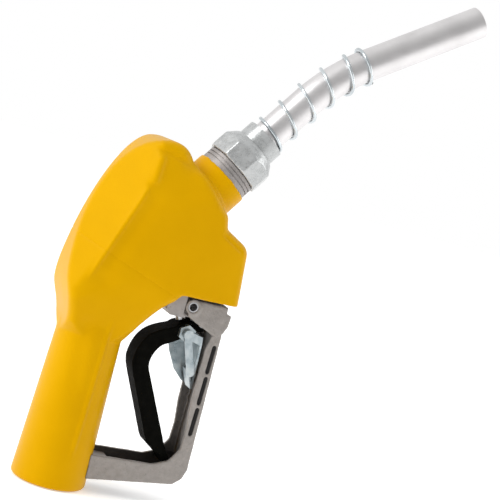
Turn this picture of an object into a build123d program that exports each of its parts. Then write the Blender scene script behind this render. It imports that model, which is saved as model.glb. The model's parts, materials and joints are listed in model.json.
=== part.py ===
from build123d import *
import math
import os

# Automatic fuel nozzle. Millimetres. +Z runs up the grip from the hose inlet, +X points to the
# lever guard and spout side, and Y is across the body. The origin is the centre of the inlet face.

# ---- grip, inlet and cover ----
INLET_THREAD_RADIUS = 12.3
INLET_THREAD_LENGTH = 20.0
HANDLE_BORE_RADIUS = 11.0
STRAINER_RADIUS = 11.6
STRAINER_TOP = 22.0
STRAINER_GAP = 0.4
STRAINER_LENGTH = 40.0
STRAINER_WALL = 1.0
HANDLE_BORE_TOP = 160.0
COVER_WALL = 3.0
GRIP_END_RADIUS = 23.8
GRIP_TOP_RADIUS = 20.3
GRIP_TOP = 105.0
GRIP_CENTRE_X = -1.0
SKIRT_DROP = 2.0
SKIRT_ROUNDING = 2.0
SEAM_HEIGHT = 145.4
SEAM_SLOPE_DEG = 19.0
COVER_EDGE_ROUNDING = 6.0
CASTING_EDGE_ROUNDING = 3.0
BODY_HALF_WIDTH = 28.5
BODY_BASE = 94.0
SHOULDER_TOP = 134.0
SHOULDER_FLARE = 0.75
FRONT_HALF_WIDTH = 20.5
SHOULDER_ROUNDING = 9.0
PANEL_RIDGE_X = -18.0
PANEL_RIDGE_Z = 132.0
PANEL_REARWARD = 0.734
PANEL_OUTWARD = 0.634
PANEL_UPWARD = 0.245
NOTCH_ROUNDING = 2.0
BODY_FRONT_X = 83.0

# ---- casting under the cover ----
EAR_OUTER_Y = 17.0
EAR_REAR_X = 50.0
EAR_LOW_Z = 122.0
EAR_GAP = 0.1
POCKET_REAR_X = 58.4
PIN_INNER_Y = 7.0
BELLY_HEIGHT = 119.5
POCKET_TOP = 133.0
EAR_TOP = POCKET_TOP - 1.0
PIN_HOLE_X = 54.5
PIN_HOLE_Z = 127.2
PIN_HOLE_RADIUS = 3.2
PIN_WALL = 0.7
PIN_RING_RADIUS = PIN_HOLE_RADIUS + 1.9
PIN_RING_PROUD = 0.5
PIN_RING_GAP = 0.2

# ---- neck, nut and spout ----
NECK_X = 59.2
NECK_Z = 216.05
NECK_ANGLE_DEG = 56.0
NECK_RADIUS = 18.0
NECK_THREAD_RADIUS = 16.5
NECK_BORE_RADIUS = 12.5
NECK_BORE_DEPTH = 34.0
NECK_END = 12.0
CHECK_GUIDE_START = 0.0
COVER_COLLAR_RADIUS = 19.0
COVER_COLLAR_END = -7.4
NUT_ACROSS_FLATS = 38.2
NUT_LENGTH = 19.0
NUT_FLATS = 8
COLLAR_RADIUS = 13.75
COLLAR_END = 28.8
COLLAR_FLANGE_RADIUS = 15.8
COLLAR_FLANGE_LENGTH = 3.0
SPOUT_RADIUS = 10.32
SPOUT_WALL = 1.3
SPOUT_START = 4.0
SPOUT_BEND_START = 62.0
SPOUT_BEND_RADIUS = 140.0
SPOUT_BEND_DEG = 20.4
SPOUT_TIP_LENGTH = 82.0
COIL_WIRE_RADIUS = 1.1
COIL_CLEARANCE = 0.25
COIL_PITCH = 16.2
COIL_OPEN_TURNS = 4.5
COIL_FIRST_TURNS = 0.5
COIL_FIRST_RISE = 4.2
COIL_LAST_TURNS = 1.0
COIL_LAST_RISE = 3.6
SENSE_PORT_FROM_TIP = 18.0
SENSE_TUBE_RADIUS = 2.0

# ---- lever guard ----
GUARD_HALF_WIDTH = 13.5
GUARD_WALL = 2.6
GUARD_WEB = 3.0
EAR_INNER_Y = GUARD_HALF_WIDTH - GUARD_WALL
SLOT_WIDTH = 2.7
SLOT_DEPTH = 5.0
SLOT_LENGTH = 19.0
SLOT_PITCH = 20.6
SLOT_TOP = 106.0
SLOT_X = 76.9
SLOT_SHIFT = 0.4
GUARD_FOOT_Z = 3.9
GUARD_FOOT_SLOPE = 0.12
GUARD_SCREW_X = GRIP_CENTRE_X + GRIP_END_RADIUS + 5.2
LUG_END_X = GUARD_SCREW_X + 5.0
LUG_TOP_Z = 19.0
GUARD_SCREW_RADIUS = 1.6
GUARD_SCREW_HEAD_RADIUS = 3.6
GUARD_SCREW_SEAT = 8.0
GUARD_SCREW_TOP = 17.0

# ---- lever, fulcrum and hold-open clip ----
FULCRUM_X = 66.5
FULCRUM_Z = 117.0
PIVOT_RADIUS = 2.5
RUNNING_CLEARANCE = 0.06
LEVER_HALF_WIDTH = 9.2
LEVER_LUG_INNER_Y = 5.0
LEVER_LUG_OUTER_Y = 8.5
CLIP_X = 57.3
CLIP_Z = 109.2
CLIP_BOLT_RADIUS = 2.4
CLIP_SHEET = 1.1
CLIP_TIP_X = 73.0
CLIP_TIP_Z = 74.2
CLIP_ARM_Y = 13.0
CLIP_FAR_Y = 9.5
CLIP_TAPER_HALF_WIDTH = 5.0
CLIP_SPRING_Y = 10.7
CLIP_NUT_Y = 13.2

# ---- main valve, on the stem axis ----
STEM_X = 54.5
STEM_Z = 115.0
STEM_TILT_DEG = 24.0
STEM_RADIUS = 3.0
STEM_PAD_GAP = 0.1
STEM_PAD_HALF_WIDTH = 3.4
STEM_DOME_RADIUS = 5.0
SEAT_POSITION = 33.0
SEAT_THICKNESS = 4.0
SEAT_BORE_RADIUS = 8.5
CHAMBER_RADIUS = 13.0
POPPET_RADIUS = 11.0
BONNET_START = 80.0
BONNET_LENGTH = 13.0
BONNET_RADIUS = 14.0

# ---- trip latch and diaphragm, on the fulcrum's vertical axis ----
PLUNGER_RADIUS = 6.0
PLUNGER_TOP = 152.0
PLUNGER_BORE_RADIUS = PLUNGER_RADIUS - 2.8
LATCH_RING_HEIGHT = 5.0
BALL_RADIUS = 1.6
DIAPHRAGM_Z = 157.0
DIAPHRAGM_RADIUS = 9.2
DIAPHRAGM_CAP_TOP = 167.5 - COVER_WALL
DIAPHRAGM_CAP_WALL = 1.6
LATCH_TRAVEL = 3.0

# ---- attitude ball near the spout tip ----
ATTITUDE_BALL_RADIUS = 2.0
ATTITUDE_TRAVEL = 3.0
ATTITUDE_RADIUS = 3.2
ATTITUDE_END_WALL = 1.5
ATTITUDE_FROM_TIP = SENSE_PORT_FROM_TIP + 11.9

ACROSS = (0, 1, 0)
UP = (0, 0, 1)


def point(x, z, y=0.0):
    return Vector(x, y, z)


def outline(points):
    return make_face(Polyline(*[point(x, z) for x, z in points], close=True))


def plate(points, low_y, high_y):
    face = outline(points).moved(Location((0, low_y, 0)))
    return extrude(face, high_y - low_y, dir=ACROSS)


def slab(points, half_width):
    return plate(points, -half_width, half_width)


def box_between(low, high):
    size = [high[i] - low[i] for i in range(3)]
    middle = [(high[i] + low[i]) / 2 for i in range(3)]
    return Pos(*middle) * Box(*size)


def cross_rod(x, z, radius, low_y, high_y):
    middle = (low_y + high_y) / 2
    return Pos(x, middle, z) * Rot(90, 0, 0) * Cylinder(radius, high_y - low_y)


def post(x, y, low_z, high_z, radius):
    return Pos(x, y, (low_z + high_z) / 2) * Cylinder(radius, high_z - low_z)


def axis_plane(x, z, angle_deg, distance):
    """A plane across an axis that leaves (x, z) at an angle above +X."""
    angle = math.radians(angle_deg)
    direction = Vector(math.cos(angle), 0, math.sin(angle))
    return Plane(origin=point(x, z) + direction * distance, x_dir=ACROSS, z_dir=direction)


def stem_plane(distance):
    return axis_plane(STEM_X, STEM_Z, 90 + STEM_TILT_DEG, distance)


def neck_plane(distance):
    return axis_plane(NECK_X, NECK_Z, NECK_ANGLE_DEG, distance)


def barrel(plane, radius, length, bore=0.0):
    """A cylinder or a ring that starts on a plane and runs along its normal."""
    foot = (Align.CENTER, Align.CENTER, Align.MIN)
    solid = plane * Cylinder(radius, length, align=foot)
    if bore:
        solid -= plane * Cylinder(bore, length, align=foot)
    return solid


def prism(plane, across_flats, sides, length):
    corner_radius = across_flats / 2 / math.cos(math.pi / sides)
    return extrude(plane * RegularPolygon(corner_radius, sides), length, dir=plane.z_dir)


def coil(plane, radius, wire, length, turns):
    """A compression spring with its wire inside the given length."""
    pitch = (length - 2 * wire) / turns
    path = Helix(pitch, length - 2 * wire, radius)
    start = path @ 0
    section = Plane(origin=start, z_dir=path % 0) * Circle(wire)
    spring = sweep(section, path=path, is_frenet=True)
    return plane * (Pos(0, 0, wire) * spring)


# ---------------------------------------------------------------- outer envelope

def drawn_in(points, inset):
    """A clockwise closed outline with every side moved inwards."""
    moved = []
    for index, (x, z) in enumerate(points):
        before = points[index - 1]
        after = points[(index + 1) % len(points)]
        step_in = math.hypot(x - before[0], z - before[1])
        step_out = math.hypot(after[0] - x, after[1] - z)
        first = ((z - before[1]) / step_in, (before[0] - x) / step_in)
        second = ((after[1] - z) / step_out, (x - after[0]) / step_out)
        share = inset / (1 + first[0] * second[0] + first[1] * second[1])
        moved.append((x + (first[0] + second[0]) * share, z + (first[1] + second[1]) * share))
    return moved


def side_face(inset):
    """The body's side outline, which stops where the grip begins."""
    front = BODY_FRONT_X
    rear = [(-21.5, BODY_BASE), (-22.5, 107), (-27.4, 122), (-28.8, 143), (-21.5, 185),
            (-11.5, 207), (4, 221.5), (15.5, 223.2), (28.5, 214.0)]
    top = [(44, 203), (58.5, 188), (60.5, 180), (front - 5, 171), (front, 127.7)]
    crotch = [(50, 131), (36.6, 126.5), (26.5, 114), (20.8, 103), (18.5, BODY_BASE)]
    places = [point(*p) for p in drawn_in(rear + top + crotch, inset)]
    crown = len(rear)
    corner = crown + len(top)
    edges = [
        Spline(*places[:crown]),
        Polyline(*places[crown - 1:corner + 1]),
        Spline(*places[corner:]),
        Line(places[-1], places[0]),
    ]
    face = make_face(edges)
    shoulder = places[corner - 2]
    notch = places[corner - 3]
    face = fillet([v for v in face.vertices() if abs(v.X - shoulder.X) + abs(v.Z - shoulder.Z) < 0.1],
                  SHOULDER_ROUNDING - inset)
    return fillet([v for v in face.vertices() if abs(v.X - notch.X) + abs(v.Z - notch.Z) < 0.1],
                  NOTCH_ROUNDING + inset / 2)


def width_block(stations, inset, plane_x):
    """A solid whose half-width follows stations of (position, half-width)."""
    def side(sign):
        if plane_x is None:
            return Spline(*[Vector(p, sign * (w - inset), 0) for p, w in stations])
        return Spline(*[Vector(plane_x, sign * (w - inset), p) for p, w in stations])
    left = side(-1)
    right = side(1)
    face = make_face([left, right, Line(left @ 0, right @ 0), Line(left @ 1, right @ 1)])
    if plane_x is None:
        return extrude(face, 260, dir=UP)
    return extrude(face, 140, dir=(1, 0, 0))


def grip_cone(inset, low_z, high_z):
    slope = (GRIP_TOP_RADIUS - GRIP_END_RADIUS) / GRIP_TOP
    low = GRIP_END_RADIUS + slope * low_z - inset
    high = GRIP_END_RADIUS + slope * high_z - inset
    return Pos(GRIP_CENTRE_X, 0, (low_z + high_z) / 2) * Cone(low, high, high_z - low_z)


def shoulder_limit(inset):
    """What the body may fill where it swells out of the round grip."""
    rise = SHOULDER_TOP - BODY_BASE
    low = GRIP_TOP_RADIUS - inset
    high = low + SHOULDER_FLARE * rise
    flare = Pos(GRIP_CENTRE_X, 0, BODY_BASE + rise / 2) * Cone(low, high, rise)
    return flare + box_between((-100, -60, SHOULDER_TOP), (120, 60, 260))


def rear_panels(inset):
    """The body's full width less the two slanting rear corners, where the label panels lie."""
    blank = box_between((-100, -60, 0), (140, 60, 300))
    for side in (-1, 1):
        normal = Vector(-PANEL_REARWARD, side * PANEL_OUTWARD, PANEL_UPWARD).normalized()
        ridge = Vector(PANEL_RIDGE_X, side * BODY_HALF_WIDTH, PANEL_RIDGE_Z)
        plane = Plane(origin=ridge - normal * inset, z_dir=normal)
        blank -= plane * Pos(0, 0, 100) * Box(500, 500, 200)
    return blank


def envelope(inset, rounding, grip_low, collar_radius, collar_end):
    """The whole outside shape, drawn in from the cover's surface by the inset."""
    wide = BODY_HALF_WIDTH
    plan = [(-40, wide - 9), (-18, wide - 2.5), (6, wide), (30, wide - 0.5), (60, wide - 3.5),
            (90, FRONT_HALF_WIDTH)]
    tall = [(80, 20.5), (104, 20.8), (120, wide - 2.5), (134, wide), (182, wide),
            (205, wide - 3.5), (240, 17)]
    body = extrude(side_face(inset), wide + 10, dir=ACROSS, both=True)
    body = body & width_block(plan, inset, None) & width_block(tall, inset, -45)
    body = body & rear_panels(inset)
    rims = [e for e in body.edges() if e.length > 3 and abs(e.center().Y) > 2 and e.center().Z > 100]
    body = fillet(rims, rounding) & shoulder_limit(inset)
    grip = grip_cone(inset, grip_low, GRIP_TOP + 4)
    collar = barrel(neck_plane(-36), collar_radius, collar_end + 36)
    return body + grip + collar


# ---------------------------------------------------------------- casting and covers

def belly():
    """The grey underside of the casting that shows behind the guard's ears."""
    profile = [(37, 134), (38, BELLY_HEIGHT + 3), (41, BELLY_HEIGHT), (56, BELLY_HEIGHT), (60, 134)]
    return slab(profile, EAR_OUTER_Y)


def linkage_pocket():
    """The slot under the body that takes the guard's ears, the lever's end and the plunger."""
    front = [(POCKET_REAR_X, 100), (POCKET_REAR_X, POCKET_TOP), (90, POCKET_TOP), (90, 100)]
    rear = PIN_HOLE_X - PIN_RING_RADIUS - PIN_RING_GAP
    ears = [(rear, EAR_LOW_Z - PIN_RING_GAP), (rear, POCKET_TOP), (60, POCKET_TOP),
            (60, BELLY_HEIGHT - 3), (EAR_REAR_X + 2, BELLY_HEIGHT - 1)]
    low = EAR_INNER_Y - EAR_GAP
    high = EAR_OUTER_Y + 3
    return slab(front, EAR_OUTER_Y + EAR_GAP) + plate(ears, low, high) + plate(ears, -high, -low)


def valve_cavities():
    cavities = barrel(stem_plane(28), CHAMBER_RADIUS - 2, SEAT_POSITION - 28)
    cavities += barrel(stem_plane(SEAT_POSITION), CHAMBER_RADIUS, BONNET_START - SEAT_POSITION)
    cavities += barrel(stem_plane(BONNET_START), BONNET_RADIUS, 60)
    cavities += barrel(stem_plane(-10), STEM_RADIUS + RUNNING_CLEARANCE, 60)
    cavities += barrel(stem_plane(10), 5.0, 11)
    cavities += prism(stem_plane(-1), 13.2, 6, 11)
    return cavities


def passages():
    crossover = [(0, 146), (26, 150), (26, 164), (0, HANDLE_BORE_TOP)]
    riser = [(46, 138.5), (57, 136), (57, 192), (47, 197), (45, 188), (54.3, 166), (54.3, 150)]
    return slab(crossover, 8) + slab(riser, 8)


def latch_cavities():
    x = FULCRUM_X
    bore = post(x, 0, POCKET_TOP - 2, PLUNGER_TOP, PLUNGER_RADIUS + RUNNING_CLEARANCE)
    ring_low = PLUNGER_TOP - LATCH_RING_HEIGHT
    bore += post(x, 0, ring_low, DIAPHRAGM_Z - 1, PLUNGER_RADIUS + 2)
    bore += post(x, 0, DIAPHRAGM_Z - 1, 200, DIAPHRAGM_RADIUS)
    return bore


def web_inside(x):
    """Height of the inside of the guard's bottom web."""
    return GUARD_FOOT_Z + GUARD_FOOT_SLOPE * x + GUARD_WEB


def guard_lug(low_x=15.0, grow=0.0):
    """The tab at the foot of the grip that the guard is screwed to."""
    profile = [(low_x, web_inside(low_x)), (LUG_END_X + grow, web_inside(LUG_END_X + grow)),
               (LUG_END_X + grow, LUG_TOP_Z), (low_x, LUG_TOP_Z)]
    return slab(profile, GUARD_HALF_WIDTH - GUARD_WALL)


def body_casting():
    neck_reach = 36
    solid = envelope(COVER_WALL, CASTING_EDGE_ROUNDING, 0.0, NECK_RADIUS, -0.5)
    solid += barrel(neck_plane(-neck_reach), NECK_THREAD_RADIUS, neck_reach + NECK_END)
    solid += belly()
    solid -= linkage_pocket()
    solid -= post(0, 0, -1, INLET_THREAD_LENGTH, INLET_THREAD_RADIUS)
    solid -= post(0, 0, INLET_THREAD_LENGTH - 1, STRAINER_TOP, STRAINER_RADIUS)
    solid -= post(0, 0, INLET_THREAD_LENGTH, HANDLE_BORE_TOP, HANDLE_BORE_RADIUS)
    solid -= valve_cavities()
    solid -= passages()
    solid -= latch_cavities()
    solid -= barrel(neck_plane(NECK_END - NECK_BORE_DEPTH), NECK_BORE_RADIUS, NECK_BORE_DEPTH + 1)
    for start in (-5.6, -3.2):
        solid -= barrel(neck_plane(start), NECK_RADIUS + 1, 0.8, NECK_RADIUS - 0.7)
    solid -= cross_rod(PIN_HOLE_X, PIN_HOLE_Z, PIN_HOLE_RADIUS, PIN_INNER_Y, EAR_OUTER_Y)
    solid -= cross_rod(PIN_HOLE_X, PIN_HOLE_Z, PIN_HOLE_RADIUS, -EAR_OUTER_Y, -PIN_INNER_Y)
    solid += guard_lug()
    solid -= post(GUARD_SCREW_X, 0, 0, GUARD_SCREW_TOP, GUARD_SCREW_RADIUS)
    return solid


def whole_cover():
    shell = envelope(0.0, COVER_EDGE_ROUNDING, -SKIRT_DROP, COVER_COLLAR_RADIUS, COVER_COLLAR_END)
    foot = [e for e in shell.edges() if abs(e.center().Z + SKIRT_DROP) < 0.01]
    shell = fillet(foot, SKIRT_ROUNDING)
    shell -= envelope(COVER_WALL, CASTING_EDGE_ROUNDING, -SKIRT_DROP - 1, NECK_RADIUS, COVER_COLLAR_END + 5)
    inside_front = BODY_FRONT_X - COVER_WALL - 0.3
    opening = [(35, 100), (35, 137), (inside_front, 137), (inside_front, 127), (90, 127), (90, 100)]
    shell -= slab(opening, EAR_OUTER_Y)
    reach = EAR_OUTER_Y + PIN_RING_PROUD + EAR_GAP
    shell -= cross_rod(PIN_HOLE_X, PIN_HOLE_Z, PIN_RING_RADIUS, -reach, reach)
    shell -= guard_lug(12.0, 2.0)
    return shell


def below_seam():
    rise = math.tan(math.radians(SEAM_SLOPE_DEG))
    low_x = -60
    high_x = 100
    return slab([(low_x, -40), (low_x, SEAM_HEIGHT - rise * low_x),
                 (high_x, SEAM_HEIGHT - rise * high_x), (high_x, -40)], 60)


# ---------------------------------------------------------------- guard

def guard_slot(x, top_z):
    """A pair of round-ended grooves, one in each outer face of the guard's leg."""
    half = SLOT_WIDTH / 2
    floor = GUARD_HALF_WIDTH - SLOT_DEPTH
    top = (x, top_z - half)
    bottom = (x, top_z - SLOT_LENGTH + half)
    near = strip(bottom, top, SLOT_WIDTH, -GUARD_HALF_WIDTH - 1, -floor)
    return near + strip(bottom, top, SLOT_WIDTH, floor, GUARD_HALF_WIDTH + 1)


def guard_ears():
    """The two thick ears at the guard's top that straddle the casting."""
    profile = [(52.5, EAR_TOP), (52.5, 121), (58.2, 118.2), (74.3, 111.4), (78.4, 114.8),
               (80.5, 120.3), (80.8, 127.0), (77.6, 127.6), (77.3, EAR_TOP)]
    low = EAR_INNER_Y
    high = EAR_OUTER_Y - EAR_GAP
    proud = EAR_OUTER_Y + PIN_RING_PROUD
    ears = plate(profile, low, high) + plate(profile, -high, -low)
    ears += cross_rod(PIN_HOLE_X, PIN_HOLE_Z, PIN_RING_RADIUS, low, proud)
    return ears + cross_rod(PIN_HOLE_X, PIN_HOLE_Z, PIN_RING_RADIUS, -proud, -low)


def lever_guard():
    foot_x = 15.0
    foot_z = GUARD_FOOT_Z + GUARD_FOOT_SLOPE * foot_x
    toe_x = 75.2
    toe_z = GUARD_FOOT_Z + GUARD_FOOT_SLOPE * toe_x
    outer = [(EAR_REAR_X, EAR_LOW_Z), (EAR_REAR_X, EAR_TOP), (77.2, EAR_TOP), (79.4, 111.7),
             (82.6, 24), (80.5, 17.5), (toe_x, toe_z), (foot_x, foot_z)]
    inner = [(foot_x, 22), (58.9, 23.6), (68.7, 27.6), (74.0, 35.6), (74.2, 47.4), (72.2, 63),
             (71.1, 102.9), (72.6, 110), (73, BELLY_HEIGHT + 1)]
    frame = outline(outer + inner)
    frame = fillet([v for v in frame.vertices() if v.Z < 18 and v.X > 70], 3.0)
    frame = fillet([v for v in frame.vertices() if 23 < v.Z < 48 and v.X < 75], 4.5)
    solid = extrude(frame, GUARD_HALF_WIDTH, dir=ACROSS, both=True)
    hollow = [(40, 110), (40, 140), (77.2 - GUARD_WEB, 140), (77.2 - GUARD_WEB, EAR_TOP),
              (79.4 - GUARD_WEB, 111.7), (82.6 - GUARD_WEB, 25), (78.0, 18.8),
              (toe_x - 0.5, web_inside(toe_x - 0.5)), (0, web_inside(0)), (0, 30), (40, 30)]
    solid -= slab(hollow, EAR_INNER_Y)
    solid += guard_ears()
    for index in range(3):
        solid -= guard_slot(SLOT_X + SLOT_SHIFT * index, SLOT_TOP - SLOT_PITCH * index)
    solid -= grip_cone(0.0, -10, 60)
    solid -= cross_rod(PIN_HOLE_X, PIN_HOLE_Z, PIN_HOLE_RADIUS, -20, 20)
    solid -= post(GUARD_SCREW_X, 0, 0, GUARD_SCREW_SEAT, GUARD_SCREW_HEAD_RADIUS + 0.1)
    solid -= post(GUARD_SCREW_X, 0, 0, GUARD_SCREW_TOP, GUARD_SCREW_RADIUS + 0.2)
    return solid


def guard_pins():
    """Two short hollow spring pins, one through each ear into the casting."""
    pins = []
    for low, high in ((-EAR_OUTER_Y, -PIN_INNER_Y), (PIN_INNER_Y, EAR_OUTER_Y)):
        pin = cross_rod(PIN_HOLE_X, PIN_HOLE_Z, PIN_HOLE_RADIUS, low, high)
        pin -= cross_rod(PIN_HOLE_X, PIN_HOLE_Z, PIN_HOLE_RADIUS - PIN_WALL, low - 1, high + 1)
        pins.append(pin)
    return Compound(children=pins)


def guard_screw():
    head = post(GUARD_SCREW_X, 0, GUARD_SCREW_SEAT - 3, GUARD_SCREW_SEAT, GUARD_SCREW_HEAD_RADIUS)
    return head + post(GUARD_SCREW_X, 0, GUARD_SCREW_SEAT, GUARD_SCREW_TOP, GUARD_SCREW_RADIUS)


# ---------------------------------------------------------------- lever, fulcrum and clip

def lever_profile():
    """The lever's side outline: a long finger arm, an elbow and a short top arm."""
    tilt = math.radians(STEM_TILT_DEG)
    pad_x = STEM_X + STEM_PAD_GAP * math.sin(tilt)
    pad_z = STEM_Z - STEM_PAD_GAP * math.cos(tilt)
    pad = [(pad_x + side * math.cos(tilt), pad_z + side * math.sin(tilt))
           for side in (STEM_PAD_HALF_WIDTH, -STEM_PAD_HALF_WIDTH)]
    down = (point(50.9, 37.7) - point(34.4, 70.3)).normalized()
    back = Spline(point(44.6, 109.4), point(33.4, 101.6), point(28.6, 87), point(34.4, 70.3),
                  tangents=[point(-0.9, -0.42), down])
    front = Spline(point(44.2, 74.6), point(39.6, 86), point(43.6, 97), point(53.5, 103.4),
                   tangents=[-down, point(0.83, 0.55)])
    lower = [(34.4, 70.3), (50.9, 37.7), (53.2, 34.2), (56.6, 33.6), (58.6, 30.4), (63.2, 30.2),
             (66.0, 24.2), (69.6, 23.6), (70.6, 26.4), (64.8, 35.4), (44.2, 74.6)]
    upper = [(53.5, 103.4), (64.5, 110.5), (70.8, 113.2), (71.8, 118.2), (68.5, 122.0),
             (64, 121), (60.4, 116.6), pad[0], pad[1], (49.0, 111.2), (44.6, 109.4)]
    return make_face([back, Polyline(*[point(*p) for p in lower]), front,
                      Polyline(*[point(*p) for p in upper])])


def lever():
    solid = extrude(lever_profile(), LEVER_HALF_WIDTH, dir=ACROSS, both=True)
    for low, high in ((LEVER_LUG_OUTER_Y, 20), (-20, -LEVER_LUG_OUTER_Y)):
        solid -= box_between((60, low, 104), (80, high, 130))
    solid -= box_between((58.8, -LEVER_LUG_INNER_Y, 106), (80, LEVER_LUG_INNER_Y, 130))
    solid -= cross_rod(FULCRUM_X, FULCRUM_Z, PIVOT_RADIUS + RUNNING_CLEARANCE, -20, 20)
    solid -= cross_rod(CLIP_X, CLIP_Z, CLIP_BOLT_RADIUS, -20, 20)
    return solid


def lever_pivot_pin():
    reach = LEVER_LUG_OUTER_Y + 0.8
    return cross_rod(FULCRUM_X, FULCRUM_Z, PIVOT_RADIUS, -reach, reach)


def clip_bolt():
    head_plane = Plane(origin=(CLIP_X, -LEVER_HALF_WIDTH, CLIP_Z), x_dir=(0, 0, 1), z_dir=(0, -1, 0))
    bolt = prism(head_plane, 10.0, 6, 3.2)
    bolt += cross_rod(CLIP_X, CLIP_Z, CLIP_BOLT_RADIUS, -16, CLIP_NUT_Y + 3.2)
    bolt += cross_rod(CLIP_X, CLIP_Z, 3.2, -16.2, -CLIP_ARM_Y - CLIP_SHEET - 0.1)
    return bolt


def clip_nut():
    plane = Plane(origin=(CLIP_X, CLIP_NUT_Y, CLIP_Z), x_dir=(0, 0, 1), z_dir=ACROSS)
    nut = prism(plane, 8.0, 6, 2.6)
    return nut - cross_rod(CLIP_X, CLIP_Z, CLIP_BOLT_RADIUS, 0, 20)


def strip(start, end, width, low_y, high_y):
    """A flat bar with round ends between two points, seen from the side."""
    run = math.hypot(end[0] - start[0], end[1] - start[1])
    nx = -(end[1] - start[1]) / run * width / 2
    nz = (end[0] - start[0]) / run * width / 2
    bar = plate([(start[0] + nx, start[1] + nz), (end[0] + nx, end[1] + nz),
                 (end[0] - nx, end[1] - nz), (start[0] - nx, start[1] - nz)], low_y, high_y)
    bar += cross_rod(start[0], start[1], width / 2, low_y, high_y)
    bar += cross_rod(end[0], end[1], width / 2, low_y, high_y)
    return bar


def hold_open_clip():
    """A folded steel sheet: a narrow near arm, a wide far plate and a front sheet with a V tip."""
    pivot = (CLIP_X, CLIP_Z)
    near_low = -CLIP_ARM_Y - CLIP_SHEET
    arm = strip(pivot, (65.8, 85.6), 4.8, near_low, -CLIP_ARM_Y)
    bridge = [(57.3, 106.4), (67.2, 104.0), (66.6, 109.6), (57.3, 111.6)]
    arm += plate(bridge, near_low, -CLIP_ARM_Y)
    far = [(54.2, 111.0), (54.0, 99), (56.3, 93), (62.8, 82.0), (CLIP_TIP_X - 3.4, CLIP_TIP_Z + 1.6),
           (CLIP_TIP_X, CLIP_TIP_Z), (67.2, 109.6), (64.6, 112.6), (57.3, 113.4)]
    far_plate = plate(far, CLIP_FAR_Y, CLIP_FAR_Y + CLIP_SHEET)
    front = [(66.0, 109.6), (67.2, 109.6), (CLIP_TIP_X, CLIP_TIP_Z), (CLIP_TIP_X - 1.3, CLIP_TIP_Z)]
    sheet = plate(front, near_low, CLIP_FAR_Y + CLIP_SHEET)
    fold = [(CLIP_TIP_X - 1.3, CLIP_TIP_Z), (CLIP_TIP_X - 0.3, CLIP_TIP_Z + 0.3),
            (CLIP_TIP_X - 5.2, CLIP_TIP_Z + 11.5), (CLIP_TIP_X - 6.3, CLIP_TIP_Z + 11.2)]
    sheet += plate(fold, -6.0, 6.0)
    taper = CLIP_TAPER_HALF_WIDTH
    for sign in (-1, 1):
        wedge = Polyline(Vector(50, sign * 30, 106), Vector(50, sign * (CLIP_ARM_Y + 1.3), 106),
                         Vector(50, sign * taper, CLIP_TIP_Z - 1), Vector(50, sign * 30, CLIP_TIP_Z - 1),
                         close=True)
        sheet -= extrude(make_face(wedge), 40, dir=(1, 0, 0))
    clip = arm + sheet + far_plate
    return clip - cross_rod(CLIP_X, CLIP_Z, CLIP_BOLT_RADIUS + RUNNING_CLEARANCE, -20, 20)


def clip_spring():
    """The small return coil round the clip's bolt, outside the far plate."""
    plane = Plane(origin=(CLIP_X, CLIP_SPRING_Y, CLIP_Z), x_dir=(1, 0, 0), z_dir=ACROSS)
    return coil(plane, CLIP_BOLT_RADIUS + 0.9, 0.4, CLIP_NUT_Y - CLIP_SPRING_Y, 2.5)


def trip_plunger():
    """The sliding fulcrum: a flat eye for the lever's pin under a round, hollow stem."""
    x = FULCRUM_X
    half = LEVER_LUG_INNER_Y - 0.3
    low = FULCRUM_Z - 4.8
    eye = box_between((x - 4.8, -half, low), (x + 4.8, half, POCKET_TOP - 8))
    eye &= post(x, 0, low, POCKET_TOP, PLUNGER_RADIUS)
    stem = post(x, 0, POCKET_TOP - 8, PLUNGER_TOP, PLUNGER_RADIUS)
    solid = eye + stem
    solid -= post(x, 0, PLUNGER_TOP - 18, PLUNGER_TOP + 1, PLUNGER_BORE_RADIUS)
    solid -= cross_rod(x, FULCRUM_Z, PIVOT_RADIUS, -20, 20)
    return solid - latch_ball_group(0.1)


def latch_ball_group(grow):
    z = PLUNGER_TOP - 3.5
    reach = PLUNGER_RADIUS - BALL_RADIUS + 0.1
    balls = [Pos(FULCRUM_X + reach * math.cos(a), reach * math.sin(a), z) * Sphere(BALL_RADIUS + grow)
             for a in (math.radians(90 + 120 * i) for i in range(3))]
    return Compound(children=balls)


def latch_ring():
    plane = Plane(origin=(FULCRUM_X, 0, PLUNGER_TOP - LATCH_RING_HEIGHT))
    return barrel(plane, PLUNGER_RADIUS + 2, LATCH_RING_HEIGHT, PLUNGER_RADIUS + 0.3)


def latch_pin():
    x = FULCRUM_X
    low = PLUNGER_TOP - 12
    top = DIAPHRAGM_CAP_TOP - DIAPHRAGM_CAP_WALL - LATCH_TRAVEL - 0.3
    pin = post(x, 0, low, top, 1.5)
    pin += post(x, 0, PLUNGER_TOP - 5.2, PLUNGER_TOP - 1.8, PLUNGER_BORE_RADIUS - 0.7)
    return pin


def diaphragm():
    disc = post(FULCRUM_X, 0, DIAPHRAGM_Z, DIAPHRAGM_Z + 0.8, DIAPHRAGM_RADIUS)
    return disc - post(FULCRUM_X, 0, DIAPHRAGM_Z - 1, DIAPHRAGM_Z + 2, 6.2)


def diaphragm_plate():
    disc = post(FULCRUM_X, 0, DIAPHRAGM_Z, DIAPHRAGM_Z + 1.6, 5.9)
    return disc - post(FULCRUM_X, 0, DIAPHRAGM_Z - 1, DIAPHRAGM_Z + 2, 1.5)


def diaphragm_cap():
    """The screwed cap that clamps the diaphragm's rim."""
    x = FULCRUM_X
    low = DIAPHRAGM_Z + 0.8
    cap = post(x, 0, low, DIAPHRAGM_CAP_TOP, DIAPHRAGM_RADIUS)
    cap -= post(x, 0, low - 1, DIAPHRAGM_CAP_TOP - DIAPHRAGM_CAP_WALL, DIAPHRAGM_RADIUS - 2.4)
    hexagon = prism(Plane(origin=(x, 0, DIAPHRAGM_CAP_TOP - 1)), 11.0, 6, 4.0)
    return cap + hexagon


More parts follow.
